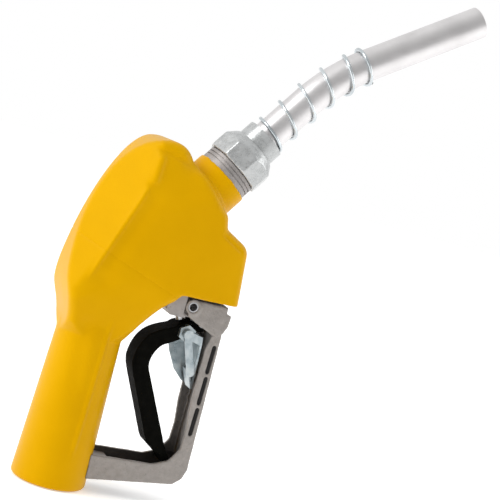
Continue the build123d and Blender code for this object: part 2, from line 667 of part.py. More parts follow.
def diaphragm_spring():
    low = DIAPHRAGM_Z + 1.7
    length = DIAPHRAGM_CAP_TOP - DIAPHRAGM_CAP_WALL - 0.1 - low
    return coil(Plane(origin=(FULCRUM_X, 0, low)), 3.6, 0.5, length, 4)


def plunger_spring():
    """The weak return spring under the latch pin, inside the plunger."""
    low = PLUNGER_TOP - 17.9
    return coil(Plane(origin=(FULCRUM_X, 0, low)), PLUNGER_BORE_RADIUS - 0.9, 0.5, 5.5, 3)


# ---------------------------------------------------------------- main valve

def valve_stem():
    top = SEAT_POSITION + SEAT_THICKNESS + 7.5
    dome = stem_plane(STEM_DOME_RADIUS) * Sphere(STEM_DOME_RADIUS)
    nose = barrel(stem_plane(0), STEM_RADIUS, STEM_DOME_RADIUS) & dome
    return nose + barrel(stem_plane(2.0), STEM_RADIUS, top - 2.0)


def gland_nut():
    nut = prism(stem_plane(5.5), 12.8, 6, 4.4)
    nut += barrel(stem_plane(9.9), 4.9, 5.0)
    return nut - barrel(stem_plane(0), STEM_RADIUS + RUNNING_CLEARANCE, 30)


def stem_packing():
    return barrel(stem_plane(15.1), 4.9, 5.6, STEM_RADIUS + RUNNING_CLEARANCE)


def valve_seat():
    plane = stem_plane(SEAT_POSITION)
    return barrel(plane, CHAMBER_RADIUS, SEAT_THICKNESS, SEAT_BORE_RADIUS)


def poppet_seal():
    plane = stem_plane(SEAT_POSITION + SEAT_THICKNESS)
    return barrel(plane, POPPET_RADIUS, 2.0, STEM_RADIUS)


def poppet():
    start = SEAT_POSITION + SEAT_THICKNESS + 2.0
    return barrel(stem_plane(start), POPPET_RADIUS, 4.0, STEM_RADIUS)


def main_spring():
    low = SEAT_POSITION + SEAT_THICKNESS + 6.1
    return coil(stem_plane(low), 8.0, 0.9, BONNET_START - low - 0.1, 6)


def bonnet_cap():
    cap = barrel(stem_plane(BONNET_START + 0.05), BONNET_RADIUS - 0.05, 7.0)
    cap -= barrel(stem_plane(BONNET_START + 3), BONNET_RADIUS + 1, 2.0, BONNET_RADIUS - 1.5)
    cap += prism(stem_plane(BONNET_START + 7.05), 18.0, 6, BONNET_LENGTH - 7)
    return cap


def bonnet_seal():
    return barrel(stem_plane(BONNET_START + 3.05), BONNET_RADIUS, 1.9, BONNET_RADIUS - 1.5)


# ---------------------------------------------------------------- inlet and spout

def inlet_strainer():
    """A thin cup with a flange that rests on the step above the inlet thread."""
    low = INLET_THREAD_LENGTH + STRAINER_GAP
    wide = HANDLE_BORE_RADIUS - 1.5
    narrow = wide / 2
    flange = post(0, 0, low, STRAINER_TOP, STRAINER_RADIUS - 0.1)
    cup = Pos(0, 0, low + STRAINER_LENGTH / 2) * Cone(wide, narrow, STRAINER_LENGTH)
    hollow = Pos(0, 0, low + STRAINER_LENGTH / 2 - STRAINER_WALL) * Cone(
        wide - STRAINER_WALL, narrow - STRAINER_WALL, STRAINER_LENGTH)
    return flange + cup - hollow


def check_seat():
    start = NECK_END - NECK_BORE_DEPTH + 6
    return barrel(neck_plane(start), NECK_BORE_RADIUS, 5.0, 7.5)


def check_poppet():
    start = NECK_END - NECK_BORE_DEPTH + 11
    disc = barrel(neck_plane(start + 0.05), 9.5, 3.0)
    return disc + barrel(neck_plane(start + 3.05), 1.8, 9.0)


def check_spring():
    start = NECK_END - NECK_BORE_DEPTH + 14.2
    return coil(neck_plane(start), 6.0, 0.7, CHECK_GUIDE_START - start - 0.1, 3)


def check_guide():
    """The spider that guides the check valve's stem and holds its spring."""
    guide = barrel(neck_plane(CHECK_GUIDE_START), NECK_BORE_RADIUS, 2.5, 1.8 + RUNNING_CLEARANCE)
    for index in range(3):
        plane = neck_plane(CHECK_GUIDE_START - 1)
        spot = plane * Rot(0, 0, 120 * index) * Pos(8.6, 0, 2)
        guide -= spot * Cylinder(2.7, 6)
    return guide


def spout_path(start, end):
    """The spout's centre line between two distances along it."""
    bend_end = SPOUT_BEND_START + bend_length()
    middle = (SPOUT_BEND_START + bend_end) / 2
    return Wire([
        Line(spout_point(start), spout_point(SPOUT_BEND_START)),
        ThreePointArc(*[spout_point(place) for place in (SPOUT_BEND_START, middle, bend_end)]),
        Line(spout_point(bend_end), spout_point(end)),
    ])


def bend_length():
    return SPOUT_BEND_RADIUS * math.radians(SPOUT_BEND_DEG)


def bend_centre():
    angle = math.radians(NECK_ANGLE_DEG)
    corner = neck_plane(SPOUT_BEND_START).origin
    return corner + Vector(math.sin(angle), 0, -math.cos(angle)) * SPOUT_BEND_RADIUS


def spout_point(distance):
    """A point on the spout's centre line, measured from the back of the nut."""
    return spout_plane(distance).origin


def spout_plane(distance):
    """The plane across the spout at a distance along its centre line."""
    length = bend_length()
    if distance <= SPOUT_BEND_START:
        return neck_plane(distance)
    turned = min(1.0, (distance - SPOUT_BEND_START) / length)
    angle = math.radians(NECK_ANGLE_DEG - SPOUT_BEND_DEG * turned)
    direction = Vector(math.cos(angle), 0, math.sin(angle))
    origin = bend_centre() + Vector(-math.sin(angle), 0, math.cos(angle)) * SPOUT_BEND_RADIUS
    beyond = max(0.0, distance - SPOUT_BEND_START - length)
    return Plane(origin=origin + direction * beyond, x_dir=ACROSS, z_dir=direction)


def spout_length():
    return SPOUT_BEND_START + bend_length() + SPOUT_TIP_LENGTH


def tube(radius, start, end):
    plane = spout_plane(start)
    return sweep(plane * Circle(radius), path=spout_path(start, end))


def spout_tube():
    length = spout_length()
    solid = tube(SPOUT_RADIUS, SPOUT_START, length)
    solid -= tube(SPOUT_RADIUS - SPOUT_WALL, SPOUT_START, length)
    port = spout_plane(length - SENSE_PORT_FROM_TIP)
    return solid - Plane(origin=port.origin, z_dir=-port.y_dir) * Pos(0, 0, 9) * Cylinder(1.5, 6)


def spout_collar():
    """The ring brazed to the spout, with the flange that the nut pulls against."""
    flange_start = NECK_END + 0.1
    ring = barrel(neck_plane(flange_start), COLLAR_RADIUS, COLLAR_END - flange_start)
    ring += barrel(neck_plane(flange_start), COLLAR_FLANGE_RADIUS, COLLAR_FLANGE_LENGTH)
    return ring - barrel(neck_plane(0), SPOUT_RADIUS, COLLAR_END + 10)


def spout_nut():
    body = prism(neck_plane(0), NUT_ACROSS_FLATS, NUT_FLATS, NUT_LENGTH)
    corner = NUT_ACROSS_FLATS / 2 / math.cos(math.pi / NUT_FLATS)
    front = neck_plane(NUT_LENGTH / 2) * Cone(corner + 9, COLLAR_RADIUS + 1.2, NUT_LENGTH)
    rear = neck_plane(NUT_LENGTH / 2) * Cone(corner - 0.8, corner + 9, NUT_LENGTH)
    body = body & front & rear
    inner_end = NECK_END + COLLAR_FLANGE_LENGTH + 0.2
    body -= barrel(neck_plane(-1), NECK_THREAD_RADIUS, inner_end + 1)
    return body - barrel(neck_plane(0), COLLAR_RADIUS + 0.25, NUT_LENGTH + 5)


def spout_seals():
    """Two rubber rings on the spout's end inside the neck."""
    rings = [barrel(neck_plane(start), NECK_BORE_RADIUS, 2.0, SPOUT_RADIUS)
             for start in (SPOUT_START + 1, SPOUT_START + 4.5)]
    return Compound(children=rings)


def coil_rise(turn):
    """How far along the spout the coil has come after a number of turns."""
    opened = turn - COIL_FIRST_TURNS
    if opened <= 0:
        return COIL_FIRST_RISE * turn / COIL_FIRST_TURNS
    if opened <= COIL_OPEN_TURNS:
        return COIL_FIRST_RISE + COIL_PITCH * opened
    closed = (opened - COIL_OPEN_TURNS) / COIL_LAST_TURNS
    return COIL_FIRST_RISE + COIL_PITCH * COIL_OPEN_TURNS + COIL_LAST_RISE * closed


def spout_coil():
    """The wire coil that holds the spout in a filler neck: open turns, closed at both ends."""
    start = COLLAR_END + COIL_WIRE_RADIUS + 0.05
    radius = SPOUT_RADIUS + COIL_CLEARANCE + COIL_WIRE_RADIUS
    turns = COIL_FIRST_TURNS + COIL_OPEN_TURNS + COIL_LAST_TURNS
    steps = int(turns * 12)
    points = []
    for step in range(steps + 1):
        turn = turns * step / steps
        plane = spout_plane(start + coil_rise(turn))
        phase = 2 * math.pi * turn - math.pi / 2
        side = plane.x_dir * -math.cos(phase) * radius
        points.append(plane.origin + side + plane.y_dir * math.sin(phase) * radius)
    path = Spline(*points)
    section = Plane(origin=path @ 0, z_dir=path % 0) * Circle(COIL_WIRE_RADIUS)
    return sweep(section, path=path, is_frenet=True)


def sense_offset_point(distance):
    plane = spout_plane(distance)
    reach = SPOUT_RADIUS - SPOUT_WALL - SENSE_TUBE_RADIUS - 0.3
    return plane.origin - plane.y_dir * reach


def sensing_tube():
    """The thin air tube that runs down the inside of the spout to the port near its tip."""
    end = spout_length() - SENSE_PORT_FROM_TIP - 12
    places = [SPOUT_START + 6 + (end - SPOUT_START - 6) * i / 8 for i in range(9)]
    path = Spline(*[sense_offset_point(place) for place in places])
    section = Plane(origin=path @ 0, z_dir=path % 0)
    outer = sweep(section * Circle(SENSE_TUBE_RADIUS), path=path)
    return outer - sweep(section * Circle(SENSE_TUBE_RADIUS - 0.6), path=path)


def attitude_plane(distance_before_tip):
    plane = spout_plane(spout_length() - distance_before_tip)
    reach = SPOUT_RADIUS - SPOUT_WALL - ATTITUDE_RADIUS - 0.2
    return Plane(origin=plane.origin - plane.y_dir * reach, x_dir=ACROSS, z_dir=plane.z_dir)


def attitude_housing():
    """The capsule at the end of the sensing tube that holds the shut-off ball."""
    shell = barrel(attitude_plane(ATTITUDE_FROM_TIP), ATTITUDE_RADIUS, 14.0)
    chamber = attitude_plane(ATTITUDE_FROM_TIP - ATTITUDE_END_WALL)
    shell -= barrel(chamber, ATTITUDE_BALL_RADIUS + 0.3, 2 * ATTITUDE_BALL_RADIUS + ATTITUDE_TRAVEL + 1.2)
    shell -= barrel(attitude_plane(ATTITUDE_FROM_TIP + 1), 1.4, 20)
    port = attitude_plane(SENSE_PORT_FROM_TIP)
    return shell - Plane(origin=port.origin, z_dir=-port.y_dir) * Pos(0, 0, 3) * Cylinder(1.2, 6)


def attitude_ball():
    place = ATTITUDE_FROM_TIP - ATTITUDE_END_WALL - ATTITUDE_BALL_RADIUS - 0.1
    return attitude_plane(place) * Sphere(ATTITUDE_BALL_RADIUS)


NODES = {
    "body_casting": body_casting,
    "lever_guard": lever_guard,
    "guard_pins": guard_pins,
    "guard_screw": guard_screw,
    "lever": lever,
    "lever_pivot_pin": lever_pivot_pin,
    "clip_bolt": clip_bolt,
    "clip_nut": clip_nut,
    "clip_spring": clip_spring,
    "hold_open_clip": hold_open_clip,
    "trip_plunger": trip_plunger,
    "latch_balls": lambda: latch_ball_group(0.0),
    "latch_ring": latch_ring,
    "latch_pin": latch_pin,
    "diaphragm": diaphragm,
    "diaphragm_plate": diaphragm_plate,
    "diaphragm_cap": diaphragm_cap,
    "diaphragm_spring": diaphragm_spring,
    "plunger_spring": plunger_spring,
    "valve_stem": valve_stem,
    "gland_nut": gland_nut,
    "stem_packing": stem_packing,
    "valve_seat": valve_seat,
    "poppet_seal": poppet_seal,
    "poppet": poppet,
    "main_spring": main_spring,
    "bonnet_cap": bonnet_cap,
    "bonnet_seal": bonnet_seal,
    "inlet_strainer": inlet_strainer,
    "check_seat": check_seat,
    "check_poppet": check_poppet,
    "check_spring": check_spring,
    "check_guide": check_guide,
    "spout_tube": spout_tube,
    "spout_collar": spout_collar,
    "spout_nut": spout_nut,
    "spout_seals": spout_seals,
    "spout_coil": spout_coil,
    "sensing_tube": sensing_tube,
    "attitude_housing": attitude_housing,
    "attitude_ball": attitude_ball,
}


def main():
    os.makedirs("parts", exist_ok=True)
    for name, make in NODES.items():
        export_step(make(), "parts/" + name + ".step")
    cover = whole_cover()
    lower = below_seam()
    export_step(cover & lower, "parts/grip_cover.step")
    export_step(cover - lower, "parts/body_cover.step")


main()
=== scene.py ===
import json
import math

import bmesh
import bpy
import numpy as np
from mathutils import Matrix, Vector, noise


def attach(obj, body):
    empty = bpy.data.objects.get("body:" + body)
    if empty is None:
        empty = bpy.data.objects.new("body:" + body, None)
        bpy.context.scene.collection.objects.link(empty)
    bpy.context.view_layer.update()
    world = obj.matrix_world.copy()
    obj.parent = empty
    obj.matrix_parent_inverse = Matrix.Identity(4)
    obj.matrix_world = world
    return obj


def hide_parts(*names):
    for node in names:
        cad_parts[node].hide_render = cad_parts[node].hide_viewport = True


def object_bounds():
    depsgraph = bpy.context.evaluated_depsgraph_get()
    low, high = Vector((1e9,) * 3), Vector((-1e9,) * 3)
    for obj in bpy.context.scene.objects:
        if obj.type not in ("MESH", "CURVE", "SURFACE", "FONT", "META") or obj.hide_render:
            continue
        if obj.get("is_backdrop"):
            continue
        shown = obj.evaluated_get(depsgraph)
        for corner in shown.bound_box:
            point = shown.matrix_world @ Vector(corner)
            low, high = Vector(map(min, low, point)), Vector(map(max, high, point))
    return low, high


# The looks of a yellow-covered fuel nozzle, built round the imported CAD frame. Metres.

MM = 0.001

# ---- camera ----
CAMERA_TARGET = Vector((86.4, 0.0, 169.1)) * MM
CAMERA_BACK = Vector((-0.3619, -0.9281, 0.0871))
CAMERA_UP = Vector((-0.2326, 0.1804, 0.9557))
CAMERA_DISTANCE = 0.960
CAMERA_LENS = 108.5

# ---- light ----
FRONT_SHADE = 0.5
FLOOR_GLOW = 0.35
FLOOR_HALF_SIZE = 4.0
FLOOR_GAP = 0.5 * MM
LIT_POINT = (0.05, 0.0, 0.15)

# ---- mesh detail ----
COVER_VOXEL = 0.9 * MM
CASTING_VOXEL = 0.55 * MM
LEVER_VOXEL = 0.6 * MM
COVER_SMOOTHING = 6
CASTING_SMOOTHING = 3
LEVER_SMOOTHING = 4
CAST_ROUGHNESS_DEPTH = 0.09 * MM
CAST_ROUGHNESS_WAVES = 450

# ---- the covers, in millimetres ----
SEAM_HEIGHT = 145.4
SEAM_SLOPE_DEG = 19.0
SEAM_GROOVE_DEPTH = 0.3
SEAM_GROOVE_WIDTH = 0.45
NECK_BLEND_CENTRE = (44.0, 0.0, 198.0)
NECK_BLEND_REACH = 24.0
NECK_BLEND_STEPS = 60
SIDE_START_Y = 9.0
SIDE_FADE_Y = 6.0

# ---- the guard's grooves and channel, in millimetres ----
GUARD_FACE_Y = 13.3
SLOT_RADIUS = 1.35
GROOVE_FLOOR_Y = 11.5
GROOVE_FLOOR_WALL = 1.2
CHANNEL_HALF_WIDTH = 11.1
LEG_INSIDE_X = 70.0
FOOT_TOP_Z = 28.0
SLOT_LENGTH = 19.0
SLOT_PITCH = 20.6
SLOT_TOP = 106.0
SLOT_X = 76.9
SLOT_SHIFT = 0.4


# ---------------------------------------------------------------- node materials

def new_material(name):
    """A material with an empty principled shader, and the shader node."""
    material = bpy.data.materials.new(name)
    material.use_nodes = True
    shader = material.node_tree.nodes["Principled BSDF"]
    return material, shader


def place_node(tree, kind, **settings):
    """A new shader node with its properties set."""
    node = tree.nodes.new(kind)
    for name, value in settings.items():
        setattr(node, name, value)
    return node


def noise_node(tree, scale, detail=3.0, roughness=0.5, stretch=(1, 1, 1)):
    """A noise texture in the object's own space, with the scale in waves per metre."""
    coordinates = place_node(tree, "ShaderNodeTexCoord")
    mapping = place_node(tree, "ShaderNodeMapping")
    mapping.inputs["Scale"].default_value = stretch
    texture = place_node(tree, "ShaderNodeTexNoise")
    texture.inputs["Scale"].default_value = scale
    texture.inputs["Detail"].default_value = detail
    texture.inputs["Roughness"].default_value = roughness
    tree.links.new(coordinates.outputs["Object"], mapping.inputs["Vector"])
    tree.links.new(mapping.outputs["Vector"], texture.inputs["Vector"])
    return texture


def ramp_node(tree, source, stops):
    """A colour ramp fed by a texture's value; stops are (position, colour)."""
    ramp = place_node(tree, "ShaderNodeValToRGB")
    elements = ramp.color_ramp.elements
    while len(elements) < len(stops):
        elements.new(0.5)
    for element, (position, colour) in zip(elements, stops):
        element.position = position
        element.color = (*colour, 1)
    tree.links.new(source, ramp.inputs["Fac"])
    return ramp


def range_node(tree, source, low, high):
    """A value stretched from noise's usual span to low..high."""
    spread = place_node(tree, "ShaderNodeMapRange")
    spread.inputs["From Min"].default_value = 0.3
    spread.inputs["From Max"].default_value = 0.7
    spread.inputs["To Min"].default_value = low
    spread.inputs["To Max"].default_value = high
    tree.links.new(source, spread.inputs["Value"])
    return spread.outputs["Result"]


def add_bump(tree, shader, heights, distance):
    """Bumps from one or more (texture output, strength) pairs, laid over each other."""
    previous = None
    for source, strength in heights:
        bump = place_node(tree, "ShaderNodeBump")
        bump.inputs["Strength"].default_value = strength
        bump.inputs["Distance"].default_value = distance
        tree.links.new(source, bump.inputs["Height"])
        if previous is not None:
            tree.links.new(previous, bump.inputs["Normal"])
        previous = bump.outputs["Normal"]
    tree.links.new(previous, shader.inputs["Normal"])


def yellow_vinyl():
    """Dip-moulded vinyl: satin and slightly mottled, with a fine pebble."""
    material, shader = new_material("yellow_vinyl")
    tree = material.node_tree
    mottle = noise_node(tree, 26, 4.0)
    colour = ramp_node(tree, mottle.outputs["Fac"],
                       [(0.30, (0.585, 0.305, 0.0006)), (0.70, (0.635, 0.335, 0.0010))])
    tree.links.new(colour.outputs["Color"], shader.inputs["Base Color"])
    pebble = noise_node(tree, 1500, 2.0)
    swell = noise_node(tree, 60, 2.0)
    tree.links.new(range_node(tree, mottle.outputs["Fac"], 0.34, 0.44), shader.inputs["Roughness"])
    add_bump(tree, shader, [(swell.outputs["Fac"], 0.08), (pebble.outputs["Fac"], 0.05)], 0.0005)
    shader.inputs["Specular IOR Level"].default_value = 0.13
    shader.inputs["Specular Tint"].default_value = (1.0, 0.62, 0.04, 1)
    shader.inputs["Subsurface Weight"].default_value = 0.03
    shader.inputs["Subsurface Radius"].default_value = (0.004, 0.002, 0.0005)
    return material


def painted_recess_shade(tree, colour):
    """Darkens a colour towards near-black with painted shade, as far as the mesh's own recess-shade
    attribute says.
    """
    recess_shade = place_node(tree, "ShaderNodeAttribute", attribute_name="recess_shade")
    mix = place_node(tree, "ShaderNodeMix", data_type="RGBA")
    # near-black painted shade for the guard's grooves and channel
    mix.inputs["B"].default_value = (0.010, 0.009, 0.009, 1)
    tree.links.new(recess_shade.outputs["Fac"], mix.inputs["Factor"])
    tree.links.new(colour, mix.inputs["A"])
    return mix.outputs["Result"]


def rough_casting(name, dark, light, roughness, grain=0.35):
    """Sand-cast aluminium: mottled grey with a rough grain and a few dark pits."""
    material, shader = new_material(name)
    tree = material.node_tree
    mottle = noise_node(tree, 220, 6.0, 0.7)
    colour = ramp_node(tree, mottle.outputs["Fac"], [(0.25, dark), (0.75, light)])
    pits = noise_node(tree, 520, 3.0)
    pit_mask = ramp_node(tree, pits.outputs["Fac"],
                         [(0.26, (0.45, 0.43, 0.42)), (0.36, (1, 1, 1))])
    mix = place_node(tree, "ShaderNodeMix", data_type="RGBA", blend_type="MULTIPLY")
    mix.inputs["Factor"].default_value = 0.6
    tree.links.new(colour.outputs["Color"], mix.inputs["A"])
    tree.links.new(pit_mask.outputs["Color"], mix.inputs["B"])
    # painted shade in recesses, wherever the piece carries the recess-shade attribute
    tree.links.new(painted_recess_shade(tree, mix.outputs["Result"]), shader.inputs["Base Color"])
    tree.links.new(range_node(tree, mottle.outputs["Fac"], roughness - 0.08, roughness + 0.1),
                   shader.inputs["Roughness"])
    grain_noise = noise_node(tree, 1100, 3.0)
    bumps = [(mottle.outputs["Fac"], grain), (grain_noise.outputs["Fac"], grain)]
    add_bump(tree, shader, bumps, 0.0005)
    shader.inputs["Metallic"].default_value = 0.55
    return material


def brushed_metal(name, dark, light, roughness, grain_stretch, metallic=0.95, grain=0.06):
    """Drawn or turned metal: fine lines along one direction and faint handling marks."""
    material, shader = new_material(name)
    tree = material.node_tree
    lines = noise_node(tree, 300, 4.0, 0.6, grain_stretch)
    marks = noise_node(tree, 45, 3.0)
    colour = ramp_node(tree, marks.outputs["Fac"], [(0.3, dark), (0.7, light)])
    tree.links.new(colour.outputs["Color"], shader.inputs["Base Color"])
    tree.links.new(range_node(tree, lines.outputs["Fac"], roughness - 0.05, roughness + 0.07),
                   shader.inputs["Roughness"])
    add_bump(tree, shader, [(lines.outputs["Fac"], grain)], 0.0003)
    shader.inputs["Metallic"].default_value = metallic
    return material


def zinc_plate():
    """Bright blue-white zinc with faint cloudy patches."""
    material, shader = new_material("zinc_plate")
    tree = material.node_tree
    cloud = noise_node(tree, 180, 4.0)
    colour = ramp_node(tree, cloud.outputs["Fac"],
                       [(0.32, (0.24, 0.29, 0.31)), (0.55, (0.40, 0.45, 0.47)),
                        (0.72, (0.50, 0.54, 0.54))])
    tree.links.new(colour.outputs["Color"], shader.inputs["Base Color"])
    tree.links.new(range_node(tree, cloud.outputs["Fac"], 0.26, 0.40), shader.inputs["Roughness"])
    add_bump(tree, shader, [(cloud.outputs["Fac"], 0.06)], 0.0004)
    shader.inputs["Metallic"].default_value = 0.8
    return material


def black_coating():
    """A thick matt black coat with a soft, slightly lumpy surface."""
    material, shader = new_material("black_coating")
    tree = material.node_tree
    lumps = noise_node(tree, 240, 3.0)
    colour = ramp_node(tree, lumps.outputs["Fac"],
                       [(0.3, (0.0022, 0.0022, 0.0018)), (0.7, (0.0045, 0.0044, 0.0036))])
    tree.links.new(colour.outputs["Color"], shader.inputs["Base Color"])
    tree.links.new(range_node(tree, lumps.outputs["Fac"], 0.58, 0.72), shader.inputs["Roughness"])
    add_bump(tree, shader, [(lumps.outputs["Fac"], 0.12)], 0.0004)
    shader.inputs["Specular IOR Level"].default_value = 0.015
    return material


def plain_rubber():
    """Dusty black rubber, for the seals."""
    material, shader = new_material("seal_rubber")
    tree = material.node_tree
    dust = noise_node(tree, 300, 3.0)
    colour = ramp_node(tree, dust.outputs["Fac"],
                       [(0.3, (0.012, 0.012, 0.012)), (0.7, (0.024, 0.023, 0.022))])
    tree.links.new(colour.outputs["Color"], shader.inputs["Base Color"])
    tree.links.new(range_node(tree, dust.outputs["Fac"], 0.6, 0.8), shader.inputs["Roughness"])
    add_bump(tree, shader, [(dust.outputs["Fac"], 0.1)], 0.0003)
    return material


def studio_white():
    """The floor: matt, nearly white, with a very faint mottle."""
    material, shader = new_material("studio_white")
    tree = material.node_tree
    mottle = noise_node(tree, 2.0, 2.0)
    colour = ramp_node(tree, mottle.outputs["Fac"],
                       [(0.3, (0.90, 0.90, 0.90)), (0.7, (0.93, 0.93, 0.93))])
    tree.links.new(colour.outputs["Color"], shader.inputs["Base Color"])
    shader.inputs["Roughness"].default_value = 0.9
    shader.inputs["Specular IOR Level"].default_value = 0.1
    shader.inputs["Emission Color"].default_value = (1, 1, 1, 1)
    shader.inputs["Emission Strength"].default_value = FLOOR_GLOW
    return material


# ---------------------------------------------------------------- mesh work

def remeshed_copy(name, nodes, voxel, smooth_steps, extra=None):
    """A new piece with the shape of one or more CAD nodes, in an even fine mesh with soft edges."""
    work = bmesh.new()
    for node in nodes:
        work.from_mesh(frame["nodes"][node].data)
    if extra:
        extra(work)
    joined = bpy.data.meshes.new(name)
    work.to_mesh(joined)
    work.free()
    piece = bpy.data.objects.new(name, joined)
    bpy.context.scene.collection.objects.link(piece)
    remesh = piece.modifiers.new("even", "REMESH")
    remesh.mode = "VOXEL"
    remesh.voxel_size = voxel
    remesh.use_smooth_shade = True
    soften = piece.modifiers.new("soften", "SMOOTH")
    soften.factor = 0.5
    soften.iterations = smooth_steps
    shown = piece.evaluated_get(bpy.context.evaluated_depsgraph_get())
    mesh = bpy.data.meshes.new_from_object(shown)
    piece.modifiers.clear()
    piece.data = mesh
    mesh.name = name
    mesh.materials.clear()
    mesh.shade_smooth()
    return piece


def get_points(mesh, field="co"):
    """A mesh's points, or its point normals, as rows of three numbers."""
    values = np.empty(len(mesh.vertices) * 3, np.float32)
    mesh.vertices.foreach_get(field, values)
    return values.reshape(-1, 3).astype(float)


def set_points(mesh, points):
    """Moves a mesh's points to new places."""
    mesh.vertices.foreach_set("co", points.astype(np.float32).ravel())
    mesh.update()


def bell(distance, width):
    """A smooth bump of height one that fades over a width."""
    return np.exp(-(distance / width) ** 2)


def along_line(points, start, end):
    """How far along, from 0 to 1, and how far from a line in the side view each point is."""
    start = np.array(start)
    run = np.array(end) - start
    length = np.hypot(*run)
    offset = points[:, (0, 2)] - start
    share = offset @ run / length ** 2
    away = (offset[:, 0] * run[1] - offset[:, 1] * run[0]) / length
    return share, away


def within(share, fade=0.12):
    """One inside 0..1 and fading to nothing past the ends."""
    return 1 / (1 + np.exp(-share / fade * 4)) / (1 + np.exp((share - 1) / fade * 4))


# ---------------------------------------------------------------- pieces

def line_push(points, start, end, height, width):
    """A rib, or a groove if the height is below zero, along a line in the side view."""
    share, away = along_line(points, start, end)
    return height * within(share) * bell(away, width)


def spot_push(points, centre, height, width):
    """A round swelling, or a dent, on both sides of the body."""
    mirrored = np.stack([points[:, 0], -np.abs(points[:, 1]), points[:, 2]], 1)
    return height * bell(np.linalg.norm(mirrored - np.array(centre), axis=1), width)


def seam_height(points):
    """Height above the slanting line where the two covers meet."""
    slope = math.radians(SEAM_SLOPE_DEG)
    return (points[:, 2] - SEAM_HEIGHT) * math.cos(slope) + points[:, 0] * math.sin(slope)


def cover_push(points, normals):
    """How far each point of the covers moves outwards, in millimetres."""
    outward = np.clip(normals[:, 1] * np.sign(points[:, 1]) * 3, 0, 1)
    off_middle = np.clip((np.abs(points[:, 1]) - SIDE_START_Y) / SIDE_FADE_Y, 0, 1)
    side = outward * off_middle
    push = line_push(points, (-17.2, 134), (2.0, 191.4), 1.3, 1.5)
    push += line_push(points, (5.0, 196), (6.7, 213), 1.5, 2.6)
    push += line_push(points, (-9, 140), (9, 188), -0.9, 4.5)
    push += line_push(points, (3, 217.5), (25, 213.0), -0.9, 1.5)
    push += line_push(points, (57.5, 176.6), (73.5, 168.0), -0.9, 0.9)
    push += line_push(points, (5.3, 104), (3.5, 24), 1.1, 1.6)
    push += line_push(points, (-10.2, 106), (-6.5, 62), -0.9, 5.0)
    push += spot_push(points, (27.5, -24, 213.5), -2.4, 6.0)
    push += spot_push(points, (38, -22, 208), 0.8, 5.0)
    push += spot_push(points, (-8, -27, 131.5), -1.2, 6.0)
    push = push * side
    groove = SEAM_GROOVE_DEPTH * bell(seam_height(points), SEAM_GROOVE_WIDTH)
    return push - groove


def half_of_cover(name, mesh, node, keep_above, material):
    """One of the two covers, cut from the whole skin along the slanting seam."""
    slope = math.radians(SEAM_SLOPE_DEG)
    work = bmesh.new()
    work.from_mesh(mesh)
    bmesh.ops.bisect_plane(
        work, geom=work.verts[:] + work.edges[:] + work.faces[:],
        plane_co=Vector((0, 0, SEAM_HEIGHT * MM)),
        plane_no=Vector((math.sin(slope), 0, math.cos(slope))),
        clear_inner=keep_above, clear_outer=not keep_above)
    half = bpy.data.meshes.new(name)
    work.to_mesh(half)
    work.free()
    half.shade_smooth()
    half.materials.append(material)
    piece = bpy.data.objects.new(name, half)
    bpy.context.scene.collection.objects.link(piece)
    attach(piece, "body")
    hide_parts(node)
    return piece


def covers(material):
    """The two vinyl covers: one skin, softened and shaped, then parted at the seam."""
    whole = remeshed_copy("cover_skin", ["grip_cover", "body_cover"], COVER_VOXEL, COVER_SMOOTHING)
    points = get_points(whole.data) / MM
    normals = get_points(whole.data, "normal")
    points += normals * cover_push(points, normals)[:, None]
    set_points(whole.data, points * MM)
    group = whole.vertex_groups.new(name="neck")
    near = bell(np.linalg.norm(points - np.array(NECK_BLEND_CENTRE), axis=1), NECK_BLEND_REACH)
    for index in np.nonzero(near > 0.1)[0]:
        group.add([int(index)], float(near[index]), "REPLACE")
    soften = whole.modifiers.new("blend", "SMOOTH")
    soften.factor = 0.6
    soften.iterations = NECK_BLEND_STEPS
    soften.vertex_group = "neck"
    shown = whole.evaluated_get(bpy.context.evaluated_depsgraph_get())
    skin = bpy.data.meshes.new_from_object(shown)
    half_of_cover("grip_cover_skin", skin, "grip_cover", False, material)
    half_of_cover("body_cover_skin", skin, "body_cover", True, material)
    bpy.data.objects.remove(whole)


def groove_floors(work):
    """Thin plates that close the grooves of the guard's leg towards its channel."""
    for index in range(3):
        x = SLOT_X + SLOT_SHIFT * index
        middle = SLOT_TOP - SLOT_PITCH * index - SLOT_LENGTH / 2
        for side in (-1, 1):
            place = Matrix.Translation(Vector((x, side * GROOVE_FLOOR_Y, middle)) * MM)
            sides = Vector((SLOT_RADIUS * 3, GROOVE_FLOOR_WALL, SLOT_LENGTH + 1)) * MM
            matrix = place @ Matrix.Diagonal((*sides, 1))
            bmesh.ops.create_cube(work, size=1.0, matrix=matrix)


def recess_shade_amount(points):
    """How much painted shade darkens the guard: most in the grooves of its leg, some in its
    channel.
    """
    inside = np.zeros(len(points))
    sunk = np.clip((GUARD_FACE_Y - np.abs(points[:, 1])) / 0.8, 0, 1)
    for index in range(3):
        x = SLOT_X + SLOT_SHIFT * index
        top = SLOT_TOP - SLOT_PITCH * index
        middle = np.clip(points[:, 2], top - SLOT_LENGTH + SLOT_RADIUS, top - SLOT_RADIUS)
        away = np.hypot(points[:, 0] - x, points[:, 2] - middle)
        inside += (away < SLOT_RADIUS + 0.5) * sunk
    # painted shade on the groove floors, then in the channel and the foot
    groove = np.where(np.abs(points[:, 1]) > GROOVE_FLOOR_Y, inside, 0)
    channel = (np.abs(points[:, 1]) < CHANNEL_HALF_WIDTH) * (points[:, 0] > LEG_INSIDE_X)
    foot = (np.abs(points[:, 1]) < CHANNEL_HALF_WIDTH) * (points[:, 2] < FOOT_TOP_Z)
    return np.maximum(groove, np.maximum(channel * 0.35, foot * 0.7))


